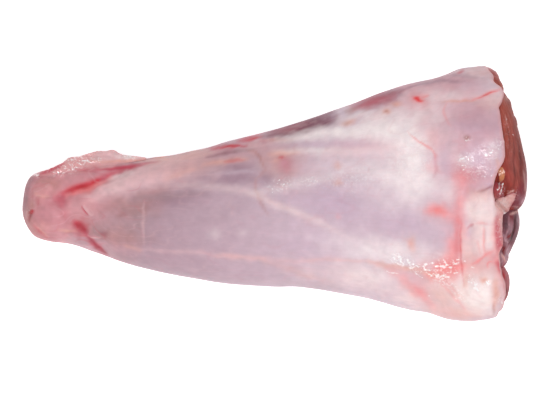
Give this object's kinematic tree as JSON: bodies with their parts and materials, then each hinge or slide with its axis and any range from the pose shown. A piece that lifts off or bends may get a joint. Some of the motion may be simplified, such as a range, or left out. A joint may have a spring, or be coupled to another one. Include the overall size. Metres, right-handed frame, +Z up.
{
  "type": "raw lamb shank",
  "caption": "Raw lamb shank: a tapered leg of meat in pale sinew and fat, with a narrow knuckle at one end and bare lean muscle at the cut.",
  "frame": {"origin": "middle of the box that holds the shank, on the surface that it lies on", "axes": "+X from the hock's knuckle to the cut, +Y across the shank, +Z up"},
  "size_m": [0.1986, 0.0978, 0.0653],
  "materials": {
    "meat": "moist raw meat under pale sinew and fat"
  },
  "bodies": {
    "root": {"shank": "meat"}
  },
  "joints": []
}
